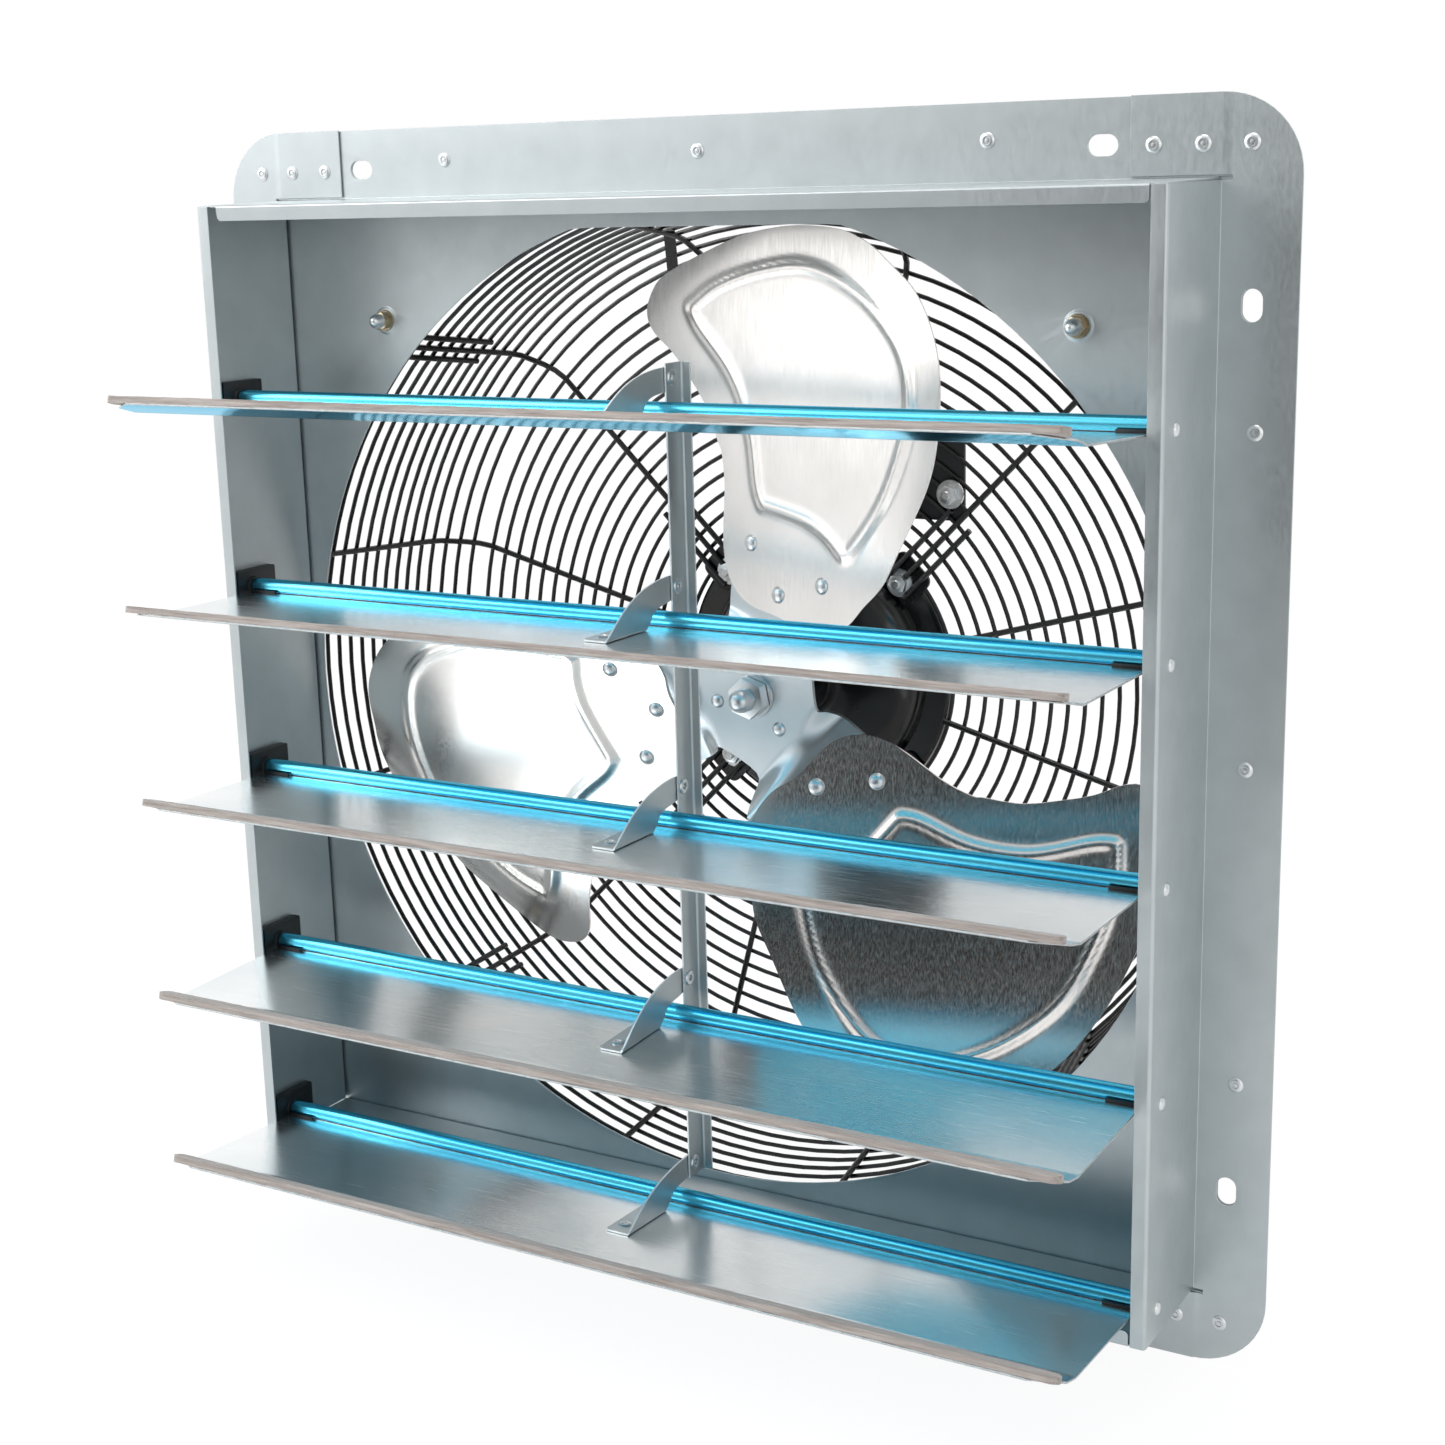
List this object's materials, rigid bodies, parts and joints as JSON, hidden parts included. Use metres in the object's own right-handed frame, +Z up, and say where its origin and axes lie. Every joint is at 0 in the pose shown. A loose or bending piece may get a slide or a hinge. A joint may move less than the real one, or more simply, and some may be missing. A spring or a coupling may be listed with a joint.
{
  "type": "shutter exhaust fan",
  "caption": "Square wall exhaust fan: flanged sheet-metal box with linked swing-up louvres, and a three-blade axial fan and motor held in a wire guard behind it.",
  "frame": {"origin": "on the fan's axis, in the plane of the wall flange's front face", "axes": "+X to the right seen from the louvre side, +Y into the room towards the motor, +Z up; air blows towards -Y"},
  "size_m": [0.72, 0.4014, 0.72],
  "materials": {
    "galvanised": "galvanised sheet, satin",
    "blade_aluminium": "mill-bright aluminium",
    "filmed_aluminium": "bright aluminium, blue protective film on the outer side",
    "black_wire": "black coated steel wire",
    "motor_enamel": "gloss black enamel on die-cast aluminium",
    "black_nylon": "black nylon",
    "zinc": "bright zinc plate",
    "yellow_zinc": "yellow zinc plate",
    "felt": "grey felt strip"
  },
  "bodies": {
    "housing": {"side_panel_left": "galvanised", "side_panel_right": "galvanised", "top_panel": "galvanised", "bottom_panel": "galvanised", "venturi_panel": "galvanised", "guard_side": "black_wire", "guard_face": "black_wire", "motor_body": "motor_enamel", "motor_rear_cap": "motor_enamel", "wiring_box": "black_nylon", "wiring_cover": "black_nylon", "cable_gland": "black_nylon", "guard_stud_1": "yellow_zinc", "guard_stud_2": "yellow_zinc", "guard_stud_3": "yellow_zinc", "guard_stud_4": "yellow_zinc", "motor_bolt_1": "zinc", "motor_bolt_2": "zinc", "motor_bolt_3": "zinc", "motor_bolt_4": "zinc", "pivot_block_left_1": "black_nylon", "pivot_block_left_2": "black_nylon", "pivot_block_left_3": "black_nylon", "pivot_block_left_4": "black_nylon", "pivot_block_left_5": "black_nylon", "pivot_block_right_1": "black_nylon", "pivot_block_right_2": "black_nylon", "pivot_block_right_3": "black_nylon", "pivot_block_right_4": "black_nylon", "pivot_block_right_5": "black_nylon"},
    "rotor": {"hub_spider": "galvanised", "blade_1": "blade_aluminium", "blade_2": "blade_aluminium", "blade_3": "blade_aluminium", "hub_washer": "zinc", "hub_collar": "zinc", "hub_nut": "zinc", "dome_nut": "zinc", "fan_shaft": "zinc"},
    "louvre_1": {"louvre_panel_1": "filmed_aluminium", "felt_strip_1": "felt", "crank_bracket_1": "galvanised", "link_pin_1": "zinc"},
    "louvre_2": {"louvre_panel_2": "filmed_aluminium", "felt_strip_2": "felt", "crank_bracket_2": "galvanised", "link_pin_2": "zinc"},
    "louvre_3": {"louvre_panel_3": "filmed_aluminium", "felt_strip_3": "felt", "crank_bracket_3": "galvanised", "link_pin_3": "zinc"},
    "louvre_4": {"louvre_panel_4": "filmed_aluminium", "felt_strip_4": "felt", "crank_bracket_4": "galvanised", "link_pin_4": "zinc"},
    "louvre_5": {"louvre_panel_5": "filmed_aluminium", "felt_strip_5": "felt", "crank_bracket_5": "galvanised", "link_pin_5": "zinc"},
    "tie_bar": {"tie_bar": "galvanised"}
  },
  "joints": [
    {"name": "fan_spin", "type": "hinge", "parent": "housing", "child": "rotor", "pos_m": [0, 0.054, 0], "axis": [0, 1, 0], "continuous": true},
    {"name": "louvre_1_hinge", "type": "hinge", "parent": "housing", "child": "louvre_1", "pos_m": [0, -0.0635, 0.194], "axis": [-1, 0, 0], "range_deg": [0, 74]},
    {"name": "louvre_2_hinge", "type": "hinge", "parent": "housing", "child": "louvre_2", "pos_m": [0, -0.0635, 0.07135], "axis": [-1, 0, 0], "range_deg": [0, 74]},
    {"name": "louvre_3_hinge", "type": "hinge", "parent": "housing", "child": "louvre_3", "pos_m": [0, -0.0635, -0.0513], "axis": [-1, 0, 0], "range_deg": [0, 74]},
    {"name": "louvre_4_hinge", "type": "hinge", "parent": "housing", "child": "louvre_4", "pos_m": [0, -0.0635, -0.17395], "axis": [-1, 0, 0], "range_deg": [0, 74]},
    {"name": "louvre_5_hinge", "type": "hinge", "parent": "housing", "child": "louvre_5", "pos_m": [0, -0.0635, -0.2966], "axis": [-1, 0, 0], "range_deg": [0, 74]},
    {"name": "tie_bar_hinge", "type": "hinge", "parent": "louvre_3", "child": "tie_bar", "pos_m": [0, -0.0498, -0.0336], "axis": [-1, 0, 0], "range_deg": [-74, 0]}
  ],
  "couplings": [
    {"joint": "louvre_1_hinge", "follows": "louvre_3_hinge", "ratio": 1},
    {"joint": "louvre_2_hinge", "follows": "louvre_3_hinge", "ratio": 1},
    {"joint": "louvre_4_hinge", "follows": "louvre_3_hinge", "ratio": 1},
    {"joint": "louvre_5_hinge", "follows": "louvre_3_hinge", "ratio": 1},
    {"joint": "tie_bar_hinge", "follows": "louvre_3_hinge", "ratio": -1}
  ]
}
